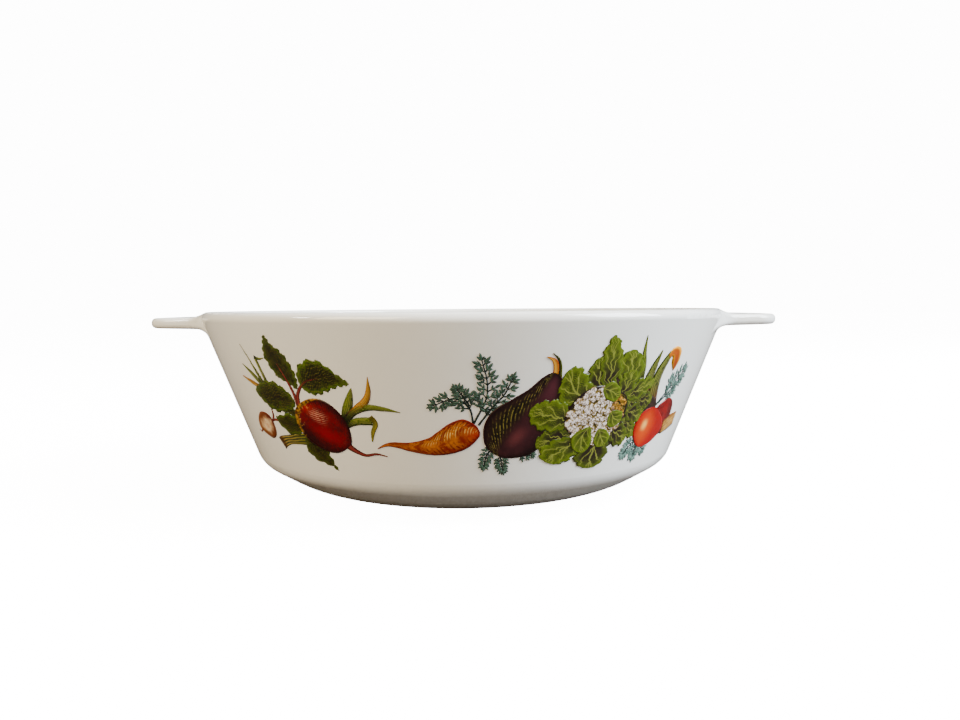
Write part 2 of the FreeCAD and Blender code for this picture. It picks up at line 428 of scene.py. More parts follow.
def enamel(name, paint):
    finish(name, paint, roughness=0.3, coat=0.04, ripple=(700, 0.4, 0.00002), Specular_IOR_Level=0.18)


def near(w, value, middle, reach):
    """1 at middle, fading to 0 at reach to either side."""
    return w.fade(w.size(w.minus(value, middle)), reach, 0.0)


def ink(red, green, blue):
    """A printed colour as it looks, in sRGB from 0 to 255, made linear and deepened as fired ink is."""
    linear = [((c / 255 + 0.055) / 1.055) ** 2.4 if c > 10 else c / 255 / 12.92 for c in (red, green, blue)]
    return (*(value ** INK_DEPTH for value in linear), 1.0)


def opal_glass(colour):
    """White glass, faintly clouded, that lets a little light into its surface."""
    shade = tuple(c * 0.97 for c in colour[:3]) + (1.0,)
    finish("opal_glass", lambda w: w.mottle(9.0, shade, colour), roughness=0.11, coat=0.5,
           ripple=(28, 0.02, 0.0006), Subsurface_Weight=0.12, Subsurface_Radius=(0.006, 0.005, 0.004),
           Subsurface_Scale=0.6, IOR=1.5)


def beet_skin(w):
    along, across, edge = w.marks("along", "across", "edge")
    body = w.mottle(260, ink(94, 2, 12), ink(126, 4, 20))
    body = w.tint(body, ink(164, 34, 16), near(w, along, 0.22, 0.2), near(w, across, -0.45, 0.5))
    body = w.tint(body, ink(140, 4, 30), near(w, along, 0.6, 0.3), near(w, across, 0.2, 0.5))
    body = w.tint(body, ink(52, 8, 12), w.fade(across, 0.25, 0.9), w.fade(along, 0.85, 0.45))
    body = w.tint(body, ink(60, 4, 10), w.fade(edge, 0.66, 1.0))
    strokes = w.strokes(along, across, lines=34.0, slant=9.0, width=0.34, breaks=0.42)
    light = w.times(near(w, along, 0.41, 0.16), near(w, across, -0.28, 0.34))
    body = w.tint(body, ink(214, 168, 146), strokes, light)
    body = w.tint(body, ink(190, 90, 60), light, 0.25)
    dark = w.strokes(along, across, lines=30.0, slant=-7.0, width=0.3, breaks=0.5)
    body = w.tint(body, ink(44, 3, 8), dark, w.fade(edge, 0.35, 0.9))
    spots = w.times(w.fade(w.noise(1000, 1), 0.6, 0.66), near(w, along, 0.16, 0.2))
    body = w.tint(body, ink(216, 166, 110), spots, w.fade(w.size(across), 0.1, 0.6))
    bowed = w.minus(along, w.times(w.power(w.size(across), 3.0), 0.2))
    ragged = w.plus(bowed, w.times(w.minus(w.noise(900, 2), 0.5), 0.2))
    crown = w.mix(w.fade(w.noise(800, 3), 0.4, 0.6), ink(88, 56, 18), ink(172, 134, 52))
    return w.tint(body, crown, w.fade(ragged, 0.2, 0.14))


def beet_leaf(w):
    along, across, edge, tone = w.marks("along", "across", "edge", "tone")
    veins = w.effect("Veining", Along=along, Across=across, Pairs=6.0, Rake=1.5, Width=0.06)
    green = w.mottle(520, ink(46, 50, 10), ink(90, 100, 20))
    green = w.tint(green, ink(38, 32, 14), w.fade(edge, 0.9, 0.3), 0.5)
    green = w.tint(green, ink(22, 20, 4), veins["Between"], 0.6)
    green = w.tint(green, ink(98, 122, 30), w.fade(edge, 0.62, 0.92), w.minus(1.0, w.times(tone, 0.7)))
    strokes = w.strokes(along, across, lines=14.0, slant=5.0, width=0.26, breaks=0.46)
    green = w.tint(green, ink(138, 130, 66), strokes, 0.45)
    dark = w.strokes(along, across, lines=12.0, slant=-5.0, width=0.36, breaks=0.44)
    green = w.tint(green, ink(14, 14, 4), dark, 0.6)
    green = w.tint(green, ink(14, 16, 2), w.rim(edge, 0.09, 0.2), 0.4)
    return w.tint(green, ink(44, 24, 14), veins["Mask"], 0.7)


def beet_stem(w):
    across = w.size(w.mark("across"))
    red = w.mix(w.noise(500), ink(112, 36, 36), ink(156, 78, 66))
    return w.mix(w.fade(across, 0.2, 1.0), red, ink(64, 18, 20))


def shoot(light, dark, deep):
    """A paint for grass-like shoots: lengthwise stripes, dark at the base."""
    def paint(w):
        along, across = w.marks("along", "across")
        stripes = w.strokes(across, along, lines=2.6, slant=0.6, width=0.3, breaks=0.4)
        green = w.mix(w.fade(across, -0.9, 0.9), light, dark)
        green = w.tint(green, ink(206, 200, 120), stripes, 0.32)
        green = w.tint(green, dark, w.fade(w.size(across), 0.6, 1.0))
        base = w.fade(w.plus(along, w.times(w.noise(260), 0.25)), 0.6, 0.15)
        return w.tint(green, deep, base)
    return paint


def radish_skin(w):
    along, edge = w.marks("along", "edge")
    body = w.mottle(420, ink(208, 174, 138), ink(232, 212, 180))
    return w.tint(body, w.mix(along, ink(98, 24, 20), ink(150, 96, 40)), w.rim(edge, 0.74, 0.5))


def leek_stalk(w):
    along, across = w.marks("along", "across")
    stripes = w.strokes(across, along, lines=2.0, slant=0.3, width=0.45, breaks=0.3)
    body = w.mix(stripes, w.mix(along, ink(176, 154, 96), ink(116, 122, 50)), ink(50, 56, 20))
    return w.tint(body, ink(88, 54, 20), w.fade(w.plus(along, w.times(w.noise(700), 0.25)), 0.34, 0.16))


def carrot_skin(w):
    along, across, edge = w.marks("along", "across", "edge")
    bulge = w.power(w.size(across), 2.0)
    body = w.mottle(300, ink(158, 86, 14), ink(194, 122, 30))
    body = w.tint(body, ink(170, 26, 4), w.fade(along, 0.3, 0.0), 0.9)
    body = w.tint(body, ink(112, 36, 2), w.fade(across, -0.15, -0.95), 0.65)
    rings = w.strokes(along, bulge, lines=24.0, slant=2.0, width=0.3, breaks=0.44)
    body = w.tint(body, ink(112, 30, 0), rings, w.fade(w.size(across), 0.0, 0.8))
    pale = w.strokes(along, bulge, lines=38.0, slant=2.4, width=0.24, breaks=0.46)
    lit = w.times(near(w, across, 0.35, 0.5), near(w, along, 0.3, 0.4))
    body = w.tint(body, ink(248, 218, 140), pale, lit)
    body = w.tint(body, ink(206, 140, 40), lit, 0.3)
    folds = w.strokes(along, bulge, lines=5.0, slant=0.8, width=0.1, breaks=0.42)
    body = w.tint(body, ink(132, 28, 2), folds, 0.8)
    return w.tint(body, ink(116, 12, 6), w.rim(edge, 0.14, 0.1), 0.9)


def frond(light, dark):
    """A paint for feathery leaves."""
    def paint(w):
        tone, across = w.marks("tone", "across")
        colour = w.mix(w.plus(w.times(tone, 0.8), w.times(w.noise(800), 0.2)), light, dark)
        return w.mix(w.fade(w.size(across), 0.7, 1.0), colour, dark)
    return paint


def aubergine_skin(w):
    along, across, edge = w.marks("along", "across", "edge")
    body = w.mottle(160, ink(46, 24, 28), ink(66, 36, 38))
    mauve = w.times(near(w, along, 0.4, 0.5), near(w, across, 0.25, 0.7))
    body = w.tint(body, ink(82, 44, 50), mauve, 0.7)
    glow = w.times(near(w, along, 0.35, 0.14), near(w, across, 0.12, 0.32))
    body = w.tint(body, ink(106, 58, 60), glow)
    body = w.tint(body, ink(92, 50, 58), near(w, along, 0.85, 0.3), near(w, across, 0.3, 0.8))
    body = w.tint(body, ink(34, 12, 16), w.fade(edge, 0.72, 1.0))
    band = near(w, across, -0.5, 0.42)
    green = w.times(band, w.times(near(w, along, 0.45, 0.5), 0.8))
    body = w.tint(body, ink(58, 54, 20), green)
    dark = w.strokes(along, across, lines=19.0, slant=8.0, width=0.5, breaks=0.44, dash=520)
    body = w.tint(body, ink(20, 14, 8), dark, band)
    strokes = w.strokes(along, across, lines=20.0, slant=8.0, width=0.14, breaks=0.5, dash=860)
    body = w.tint(body, ink(156, 144, 78), strokes, w.times(band, 0.7))
    return w.tint(body, ink(62, 24, 26), w.rim(edge, 0.05, 0.03), 0.8)


def stalk_green(w):
    return w.mix(w.fade(w.mark("across"), -0.6, 0.7), ink(30, 34, 14), ink(84, 88, 26))


def stalk_orange(w):
    warm = w.mix(w.fade(w.mark("across"), -0.6, 0.9), ink(212, 164, 66), ink(156, 88, 10))
    return w.mix(w.fade(w.size(w.mark("across")), 0.6, 1.0), warm, ink(140, 62, 10))


def cabbage_leaf(w):
    along, across, edge, tone = w.marks("along", "across", "edge", "tone")
    veins = w.effect("Veining", Along=along, Across=across, Pairs=3.6, Rake=1.5, Width=0.02)
    green = w.mottle(420, ink(74, 83, 20), ink(108, 116, 40))
    green = w.tint(green, ink(52, 64, 10), veins["Between"], 0.55)
    strokes = w.strokes(along, across, lines=22.0, slant=8.0, width=0.26, breaks=0.5)
    green = w.tint(green, ink(142, 156, 60), strokes, 0.6)
    dark = w.strokes(along, across, lines=18.0, slant=-7.0, width=0.32, breaks=0.52)
    green = w.tint(green, ink(44, 54, 10), dark, 0.6)
    shade = w.fade(w.minus(along, w.times(tone, 0.6)), 0.36, -0.05)
    green = w.tint(green, ink(48, 34, 34), shade, 0.9)
    green = w.tint(green, ink(114, 130, 34), w.fade(edge, 0.5, 0.85), w.minus(0.8, w.times(tone, 0.5)))
    green = w.tint(green, ink(40, 58, 4), w.rim(edge, 0.08, 0.3), 0.6)
    return w.tint(green, ink(168, 172, 88), veins["Mask"], 0.62)


def leaf_shade(w):
    lines = w.strokes(w.mark("along"), w.mark("across"), lines=24.0, slant=6.0, width=0.4, breaks=0.5)
    return w.mix(lines, w.mix(w.noise(400), ink(52, 38, 36), ink(80, 62, 52)), ink(30, 24, 14))


def curd_ground(w):
    gold = w.mix(w.fade(w.noise(1100, 2), 0.4, 0.6), ink(48, 42, 14), ink(132, 114, 50))
    return w.mix(w.fade(w.mark("edge"), 0.8, 0.92), gold, ink(44, 32, 32))


def floret(w):
    edge, tone = w.marks("edge", "tone")
    white = w.mix(w.noise(900, 3), ink(212, 198, 188), ink(240, 230, 226))
    brown = w.mix(w.fade(w.noise(1300, 2), 0.42, 0.58), ink(92, 48, 8), ink(214, 162, 72))
    white = w.tint(white, brown, w.fade(tone, 0.3, 0.8))
    ragged = w.plus(edge, w.times(w.noise(1500, 2), 0.5))
    white = w.tint(white, ink(124, 100, 26), w.fade(w.noise(1400, 2), 0.49, 0.56), 0.9)
    return w.tint(white, ink(118, 94, 28), w.fade(ragged, 0.95, 1.2))


def tomato_skin(w):
    along, across, edge = w.marks("along", "across", "edge")
    body = w.mottle(140, ink(156, 12, 8), ink(172, 26, 10))
    warm = w.times(near(w, along, 0.48, 0.5), near(w, across, -0.35, 0.8))
    body = w.tint(body, ink(204, 86, 2), warm)
    spot = w.times(near(w, along, 0.52, 0.12), near(w, across, -0.42, 0.26))
    body = w.tint(body, ink(248, 204, 118), spot, 0.75)
    body = w.tint(body, ink(160, 16, 20), w.fade(across, 0.35, 0.95))
    return w.tint(body, ink(164, 14, 22), w.fade(edge, 0.78, 1.0))


def pepper_skin(w):
    across = w.mark("across")
    body = w.mottle(300, ink(112, 6, 14), ink(142, 20, 22))
    return w.tint(body, ink(88, 4, 14), w.fade(across, 0.1, 1.0))


def mushroom_stem(w):
    along, across = w.marks("along", "across")
    body = w.mottle(400, ink(168, 122, 54), ink(206, 168, 98))
    lines = w.strokes(across, along, lines=2.0, slant=0.5, width=0.3, breaks=0.4)
    body = w.tint(body, ink(120, 72, 26), lines, 0.6)
    return w.tint(body, ink(120, 74, 24), w.fade(w.size(across), 0.6, 1.0))


def blossom(w):
    warm = w.mix(w.mark("along"), ink(186, 104, 0), ink(136, 46, 0))
    return w.mix(w.fade(w.size(w.mark("across")), 0.3, 1.0), warm, ink(216, 158, 16))


def build_finishes(colour):
    build_effects()
    opal_glass(colour)
    paints = {
        "beet_skin": beet_skin, "beet_leaf": beet_leaf, "beet_stem": beet_stem,
        "green_shoot": shoot(ink(108, 124, 26), ink(60, 76, 12), ink(26, 26, 6)),
        "yellow_shoot": shoot(ink(192, 142, 24), ink(132, 84, 12), ink(46, 34, 8)),
        "lime_shoot": shoot(ink(150, 136, 26), ink(84, 88, 14), ink(92, 84, 16)),
        "olive_shoot": shoot(ink(88, 100, 26), ink(44, 54, 12), ink(96, 52, 32)),
        "radish_skin": radish_skin, "leek_stalk": leek_stalk, "carrot_skin": carrot_skin,
        "carrot_frond": frond(ink(92, 116, 100), ink(12, 26, 22)),
        "dill_frond": frond(ink(138, 166, 154), ink(32, 58, 54)),
        "aubergine_skin": aubergine_skin, "stalk_green": stalk_green, "stalk_orange": stalk_orange,
        "cabbage_leaf": cabbage_leaf, "leaf_shade": leaf_shade, "curd_ground": curd_ground, "floret": floret,
        "tomato_skin": tomato_skin, "pepper_skin": pepper_skin, "mushroom_stem": mushroom_stem,
        "blossom": blossom,
    }
    for name, paint in paints.items():
        enamel(name, paint)


# ---------------------------------------------------------------- motifs


def draw_beetroot(film):
    film.ribbon([(-40.5, 29.4), (-38.4, 27), (-33.4, 24.8), (-28.7, 25.4), (-24.6, 24.7)],
                [3.6, 1.8, 1.0, 0.7, 0.25], 1, rows=30)
    outline = [(-58.6, 40.2), (-53, 43.2), (-47, 43.8), (-41.5, 41), (-38, 36), (-37.4, 31), (-38.8, 27.8),
               (-44.5, 24.9), (-51, 25.3), (-57.5, 28.6), (-60.4, 33), (-60.4, 37)]
    film.egg(outline, 6, 0, rows=44, columns=25)


def draw_beet_leaves(film):
    film.egg([(-56.5, 31), (-60, 27), (-58.4, 22.6), (-54.6, 20.8), (-49.8, 19.6), (-46.8, 18),
              (-48.2, 21.4), (-49.6, 26.2), (-52.6, 30)], 5, 0, rows=40, columns=11, teeth=7, depth=1.3,
             tone=0.95)
    film.egg([(-58, 34), (-60.6, 30.6), (-65.6, 29.7), (-70.4, 32), (-72.4, 35.6), (-68.6, 36.6),
              (-65, 37.6), (-60.6, 37)], 4, 0, rows=30, columns=11, teeth=5, depth=1.0, tone=0.35)
    film.egg([(-59, 36.4), (-62.4, 37), (-65.4, 38.8), (-67, 41.6), (-63.4, 41.6), (-60, 39.6)], 3, 0,
             rows=20, columns=9, teeth=3, depth=0.3, tone=0.6)
    film.egg([(-58.6, 42), (-60.4, 39.6), (-64.6, 38.2), (-70.2, 37.9), (-75.2, 39.8), (-79.8, 44.4),
              (-76.4, 47.2), (-70.8, 49), (-65.2, 48.4), (-60.4, 45.4)], 5, 0, rows=64, columns=15, teeth=9,
             depth=0.9, tone=0.55)
    film.egg([(-55.4, 46.8), (-58.6, 48.8), (-62.6, 50.4), (-65, 53.6), (-66.6, 58), (-65, 62.2),
              (-63.2, 65), (-61, 61.8), (-58, 59.8), (-55.6, 56.2), (-54.2, 51.2)], 6, 0, rows=70,
             columns=15, teeth=11, depth=0.95, tone=0.75)
    film.egg([(-52.8, 47.4), (-53.8, 50.6), (-52.4, 54.4), (-49, 56.6), (-45.4, 57.2), (-41.6, 55.8),
              (-38, 52.8), (-33.8, 49.4), (-38.4, 48.2), (-43, 46.5), (-47.2, 45.2), (-50.6, 45.8)], 7, 0,
             rows=70, columns=17, teeth=10, depth=1.05, tone=0.15)
    film.ribbon([(-57.4, 40.6), (-57.8, 45.3), (-59.2, 50.2), (-61.4, 55.4)], [1.7, 1.2, 0.8, 0.2], 1,
                rows=24)
    film.ribbon([(-57, 40.6), (-55.8, 45), (-51.4, 49.2), (-44.6, 51)], [1.8, 1.2, 0.8, 0.15], 1, rows=24)


def draw_herb_shoots(film):
    film.ribbon([(-72, 46), (-74.5, 52), (-76.6, 57), (-78.8, 61.5)], [2.0, 1.4, 0.6, 0.1], 0)
    film.ribbon([(-72.5, 46), (-77, 50.4), (-82.4, 54.4)], [1.8, 2.0, 0.2], 0)
    film.ribbon([(-73, 45.5), (-79.5, 47.6), (-86, 49.8)], [1.4, 1.7, 0.3], 1)
    film.ribbon([(-70, 47), (-71.2, 52), (-72.2, 57)], [1.7, 1.4, 1.4], 0)
    film.ribbon([(-72.6, 57.2), (-70, 56.6), (-67.4, 57)], [1.2, 0.8, 0.2], 0, tone=1)


def draw_radish(film):
    film.ribbon([(-77, 33.8), (-74.4, 34.4), (-71.4, 34.6)], [1.1, 0.8, 1.0], 1)
    film.ribbon([(-75.4, 34.2), (-74, 36.2), (-73.6, 38.6)], [1.0, 0.8, 0.5], 1)
    film.ribbon([(-87.6, 29.6), (-89.6, 28.4), (-91, 29)], [0.8, 0.5, 0.2], 1)
    film.egg([(-76, 34.2), (-78.6, 36.4), (-83.2, 36.6), (-87.4, 33.8), (-89, 30.4), (-86.4, 28.4),
              (-80.4, 26.8), (-76.4, 29.4)], 4, 0, rows=24, columns=13)


def draw_leek(film):
    film.ribbon([(-74.8, 25.6), (-72.6, 26.6), (-66, 28), (-57, 28.8)], [4.8, 3.4, 4.0, 4.4], 0, rows=18,
                columns=9)


def draw_onion_shoots(film):
    film.leaf((-39.4, 36.4), (-33.3, 48.2), 3.4, 0, rows=16, columns=5, bend=-0.5)
    film.ribbon([(-37.4, 37.6), (-33.4, 41), (-29.6, 43.4), (-27.6, 46.8), (-26.9, 52)],
                [2.6, 1.8, 2.6, 1.7, 0.1], 1, rows=30)
    film.ribbon([(-39.4, 34.6), (-35, 39.2), (-29.5, 41.6), (-23.5, 41.3), (-17.6, 40.2)],
                [2.0, 2.0, 2.3, 1.5, 0.1], 0, rows=34)
    film.ribbon([(-39, 34.6), (-34, 36.6), (-28.2, 37.0)], [1.8, 2.6, 2.8], 0, rows=14)
    film.ribbon([(-28.6, 38.4), (-27, 36.2), (-28.6, 33), (-29.4, 29.8)], [2.0, 1.8, 1.4, 0.4], 2, rows=16)


def spray(film, spine, span, pairs, size=2.1, bare=0.3):
    """A feathery frond: a stem with side sprigs, each set with small leaflets, shorter towards the tip."""
    line = smooth(spine, SPRAY_PLACES)
    last = SPRAY_PLACES - 1
    film.ribbon(spine, [0.65, 0.5, 0.3], 0, rows=16, columns=3, tone=1.0)
    for number in range(pairs):
        share = bare + (0.96 - bare) * number / (pairs - 1)
        place = int(share * last)
        aim = line[min(last, place + 2)] - line[max(0, place - 2)]
        heading = math.atan2(aim[1], aim[0])
        reach = span * (1.1 - 0.8 * share) * film.chance.uniform(0.85, 1.15)
        for way in (1, -1):
            sprig(film, line[place], heading + way * math.radians(film.chance.uniform(44, 60)), reach, size)
    aim = line[-1] - line[-6]
    sprig(film, line[-1], math.atan2(aim[1], aim[0]), span * 0.25, size)


def sprig(film, start, heading, reach, size):
    """One side sprig: leaflets on either side of a fine stem, and one at its end."""
    way = np.array([math.cos(heading), math.sin(heading)])
    end = start + way * reach
    stem = [tuple(start), tuple(start + way * reach * 0.5), tuple(end)]
    film.ribbon(stem, [0.4, 0.32, 0.2], 0, rows=5, columns=3, tone=1.0)
    count = max(1, round(reach / (size * 1.15)))
    for k in range(count):
        at = start + way * reach * (k + 0.65) / (count + 0.25)
        for turn in (0.7, -0.7):
            angle = heading + turn + film.chance.uniform(-0.15, 0.15)
            length = size * film.chance.uniform(0.7, 1.05)
            tip = at + length * np.array([math.cos(angle), math.sin(angle)])
            tone = film.chance.uniform(0, 0.75)
            film.leaf(at, tip, length * LEAFLET_PLUMP, 0, rows=7, columns=3, tone=tone)
    far = end + way * size * 0.9
    film.leaf(end - way * 0.3, far, size * LEAFLET_PLUMP, 0, rows=7, columns=3, tone=0.2)


def draw_carrot_fronds(film):
    spray(film, [(6.2, 36.5), (5.0, 41.6), (0.4, 45), (-6.4, 42.8)], 3.6, 6)
    spray(film, [(5.0, 42.5), (3.2, 45.4), (1.2, 48)], 2.6, 4, bare=0.2)
    spray(film, [(6.4, 36.5), (10.2, 44.5), (10.4, 50.4), (8.8, 56.7)], 4.9, 8, bare=0.25)
    spray(film, [(8, 36), (12.8, 42.4), (16, 46), (18.2, 51)], 3.8, 6, bare=0.25)
    spray(film, [(14, 29.4), (11, 25.2), (10.2, 21.6)], 2.6, 5, size=1.7)
    spray(film, [(15.4, 27), (16.4, 23), (17.2, 20)], 2.6, 5, size=1.7)
    spray(film, [(22, 26), (25, 24.8), (27.6, 24.9)], 1.8, 3, size=1.5)


def draw_carrot(film):
    outline = [(8.6, 33), (7.4, 30.8), (4.4, 28.2), (0.4, 26.6), (-4, 25.8), (-8.1, 25.7), (-12.3, 26.2),
               (-16.4, 27), (-20, 27.9), (-24, 28.4), (-28, 27.3), (-25, 29.1), (-21.6, 29.9),
               (-16.4, 29.9), (-12.3, 30.6), (-8.4, 31.9), (-6, 33.6), (-2, 36.4), (2.1, 38.1), (5, 37.3),
               (7.4, 35.6)]
    film.egg(outline, 10, 0, rows=72, columns=21)


def draw_aubergine(film):
    outline = [(15.5, 24.9), (10.8, 28.4), (9.6, 33), (10.4, 37.4), (13.4, 41.4), (18.5, 44.4), (24, 47.8),
               (28.2, 51.6), (31.6, 52.8), (34.4, 50.6), (34.8, 45), (34.4, 37), (31.8, 29.6), (27, 25.4),
               (20.8, 24.2)]
    film.egg(outline, 8, 0, rows=54, columns=27)


def draw_aubergine_stalk(film):
    film.ribbon([(32.2, 50.6), (31.9, 54.4), (30.8, 56.9), (28.4, 58)], [2.4, 2.0, 1.5, 0.2], 1, rows=24)
    film.ribbon([(33.6, 50.6), (33.2, 54.8), (32.2, 57.3), (30.2, 59.2)], [1.5, 1.1, 0.9, 0.2], 0, rows=24)


def draw_cauliflower_leaves(film):
    middle, reach = np.array([51.6, 36.6]), np.array([15.8, 12.8])
    turns = np.linspace(0, 2 * math.pi, 12, endpoint=False)
    film.egg([tuple(middle + reach * (math.cos(a), math.sin(a))) for a in turns], 6, 1, rows=24, columns=15)
    middle, reach = np.array([57.0, 45.0]), np.array([13.0, 6.6])
    film.egg([tuple(middle + reach * (math.cos(a), math.sin(a))) for a in turns], 6, 1, rows=24, columns=15)
    film.egg([(66, 38), (70, 34.4), (76, 36), (80.4, 37.6), (79, 40.8), (75, 42.4), (70, 42)], 3, 1,
             rows=20, columns=9)
    leaves = [
        # outline from its base, then the tip's number, teeth, tone
        ([(59, 45), (56, 49), (54.4, 54.2), (55.4, 57.6), (58.9, 59.4), (62.6, 58), (65.8, 54.6),
          (66.2, 50.4), (63.4, 47.2)], 4, 4, 0.4),
        ([(49, 44), (46.2, 46.4), (43.8, 49.6), (43.6, 53.2), (45.6, 56.8), (48.8, 57.4), (51.4, 54.4),
          (52, 49)], 4, 3, 0.8),
        ([(52.4, 44), (48.6, 50), (47.2, 56.4), (48, 60.6), (50.1, 64.4), (53.2, 62), (55, 57.8), (56, 53),
          (54.6, 47.4)], 4, 4, 0.6),
        ([(44.8, 43), (40, 41.6), (35.6, 42), (33.9, 45.4), (34.2, 49.4), (35.8, 53), (38.8, 54.6),
          (42, 53), (44.6, 49.6), (46.4, 46.4)], 5, 5, 0.4),
        ([(43, 31), (38, 33.6), (33, 33.4), (29.6, 32), (28.2, 28.8), (30.6, 25.8), (36, 25.6), (41, 27.4)],
         4, 4, 0.9),
        ([(45, 30), (40, 30.6), (34, 29.4), (30.2, 26.6), (30.8, 23.6), (34.8, 21.4), (39.4, 21),
          (43.8, 22.8), (46.6, 26.4)], 5, 5, 0.4),
        ([(41, 36), (38, 41.6), (33.6, 43.6), (28.8, 43.4), (25, 41), (25.2, 37), (28.2, 34), (33, 32.6),
          (38, 33.4)], 4, 5, 0.35),
        ([(52.6, 28.6), (46.6, 25.6), (44.8, 22), (48, 19.2), (52.2, 18.2), (56.6, 18.8), (59.4, 22),
          (59.4, 26), (56.8, 28.6)], 4, 5, 0.9),
        ([(62.6, 35.4), (64, 31.8), (67.4, 28), (71.6, 28.2), (71, 32), (68, 35)], 3, 3, 0.7),
        ([(57.6, 32), (59, 28), (62.4, 25.4), (66, 25.4), (67.6, 28.2), (66, 31.6), (62, 34)], 4, 4, 0.9),
        ([(63, 42), (63.4, 38.4), (67, 35.4), (72, 35.6), (73.2, 38.6), (69.6, 41.6)], 4, 3, 0.8),
        ([(62, 43), (65, 41.4), (70, 42.8), (74.2, 47.4), (71, 49.6), (66.4, 49), (62.8, 47)], 3, 4, 0.5),
        ([(58.4, 43), (61.6, 43.2), (64.6, 46.6), (64.4, 51), (61, 52.6), (57.4, 51), (56.6, 46.8)], 4, 4,
         0.6),
        ([(63.4, 38), (65, 34.6), (69, 32.6), (72.4, 34.6), (71, 38.6), (67, 40.4)], 3, 3, 0.8),
        ([(68, 41), (70.4, 38.4), (74, 38.2), (76, 40.8), (74, 43.6), (70.4, 43.8)], 3, 3, 0.9),
    ]
    for outline, tip, teeth, tone in leaves:
        film.level += LEAF_STEP
        film.egg(outline, tip, 0, rows=16 * teeth, columns=15, teeth=1.6 * teeth, depth=1.25, tone=tone)


def draw_cauliflower_head(film):
    outline = [(38.1, 34.7), (38.8, 40.8), (42.7, 45.5), (48.5, 47.8), (55.5, 46.4), (61.6, 43.3),
               (63.4, 38.1), (61, 32.4), (56.7, 29), (50.6, 27.2), (43.8, 29.5)]
    film.egg(outline, 5, 0, rows=30, columns=17)
    centre, reach = np.array([50.4, 37.2]), np.array([11.8, 9.8])
    golden = math.pi * (3 - math.sqrt(5))
    for count, small, large in ((64, 1.15, 1.75), (90, 0.5, 0.95)):
        for k in range(count):
            far = math.sqrt((k + 0.5) / count)
            place = centre + reach * far * np.array([math.cos(k * golden), math.sin(k * golden)])
            place = place + np.array([film.chance.uniform(-0.4, 0.4), film.chance.uniform(-0.4, 0.4)])
            radius = film.chance.uniform(small, large)
            right, high = (place[0] - 54) / 5, (place[1] - 33) / 6
            speckled = (0.25 + 0.4 * far ** 4) * film.chance.random()
            browned = speckled + min(1.0, max(0.0, right)) * min(1.0, max(0.0, high))
            ring = []
            for a in np.linspace(0, 2 * math.pi, 9, endpoint=False):
                wide = radius * film.chance.uniform(0.78, 1.15)
                ring.append((place[0] + wide * math.cos(a), place[1] + wide * math.sin(a)))
            film.egg(ring, 4, 1, rows=10, columns=5, tone=min(1.0, browned))
    near_leaves = [
        ([(50.4, 46.8), (52.6, 43), (56.6, 41.8), (58.6, 44.2), (57, 47.2), (53.4, 49)], 3),
        ([(48.4, 33.6), (43, 31.6), (41.6, 28.6), (44, 25.4), (48.2, 24.4), (50.6, 27), (50, 30.6)], 4),
        ([(53, 32.4), (51.4, 29.4), (52.8, 26.2), (56.8, 26), (58.8, 28.6), (57, 31.4)], 3),
        ([(56.4, 38.4), (55.6, 34.4), (58.2, 32.4), (62, 34.4), (61.6, 38)], 3),
    ]
    for outline, tip in near_leaves:
        film.level += LEAF_STEP
        film.egg(outline, tip, 2, rows=30, columns=13, teeth=4, depth=0.3, tone=0.25)


def draw_pea_shoots(film):
    film.ribbon([(67, 46.5), (65.8, 54), (64.4, 58.6), (63.6, 64)], [2.4, 2.4, 1.4, 0.1], 0, rows=24)
    film.ribbon([(70.6, 42), (70.6, 48), (71.8, 53.6), (73.4, 58.6)], [4.0, 4.4, 3.0, 0.3], 2, rows=24)
    film.ribbon([(77.4, 38.4), (75.4, 45), (75.8, 51), (79, 57.4)], [5.4, 5.4, 4.2, 2.2], 2, rows=28)
    film.ribbon([(78.2, 56.2), (80.4, 57.6), (82.8, 56.8), (83.8, 54), (84.2, 50.8)], [1.4, 3.6, 5.2, 4.2,
                                                                                       0.2], 1, rows=28)


def draw_dill(film):
    spray(film, [(80.6, 38.6), (84.4, 42.4), (88.4, 46.2), (93, 49.6)], 5.4, 5, size=2.7, bare=0.34)
    spray(film, [(80, 38), (86, 42), (92.4, 46.6)], 3.2, 3, size=2.5, bare=0.4)
    spray(film, [(75.6, 27.6), (72, 24.4), (69.4, 21.6)], 3.4, 5, size=2.3, bare=0.3)
    spray(film, [(76.4, 27), (76, 23), (76.2, 20)], 3.4, 5, size=2.3, bare=0.3)
    spray(film, [(77.2, 27), (79.6, 23.6), (82, 21.6)], 3.2, 4, size=2.1, bare=0.3)


def draw_pepper(film):
    film.ribbon([(92, 28.9), (97.6, 30.2), (103, 31.2)], [5.4, 6.2, 5.2], 1, rows=18, columns=9)
    film.egg([(85.4, 28), (82.6, 31.6), (81.8, 36.6), (85.6, 39.4), (90, 40.2), (94, 37.8), (95.6, 33.4),
              (94.8, 29), (90.6, 26.4)], 4, 0, rows=28, columns=13)


def draw_tomato(film):
    outline = [(78, 23.2), (73.6, 26), (71, 30), (71.6, 34.4), (75.2, 37.4), (80.4, 37.8), (84.6, 35.6),
               (88.8, 32.8), (91.6, 29.4), (89.6, 26.2), (84.4, 23.6)]
    film.egg(outline, 5, 0, rows=36, columns=21)


# ---------------------------------------------------------------- stage

